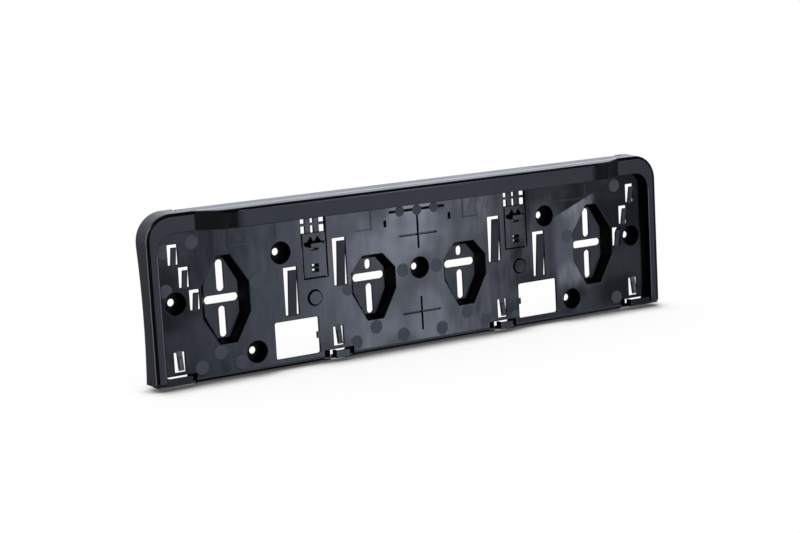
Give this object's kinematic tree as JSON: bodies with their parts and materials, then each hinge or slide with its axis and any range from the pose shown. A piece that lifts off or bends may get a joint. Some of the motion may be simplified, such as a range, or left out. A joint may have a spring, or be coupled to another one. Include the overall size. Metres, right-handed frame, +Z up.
{
  "type": "number plate holder",
  "caption": "Wide moulded number plate holder: lipped frame open below, raised top bar, screw cups, slotted screw pockets and spring tongues behind the plate.",
  "frame": {"origin": "centre of the middle screw hole on the seat, the plane of the cup and pocket floors that lies against the car", "axes": "+X to the right as seen by someone facing the plate, +Y towards the car, +Z up"},
  "size_m": [0.5334, 0.0334, 0.1488],
  "materials": {
    "plate_holder": "satin black moulded polypropylene"
  },
  "bodies": {
    "root": {"plate_holder": "plate_holder"}
  },
  "joints": []
}
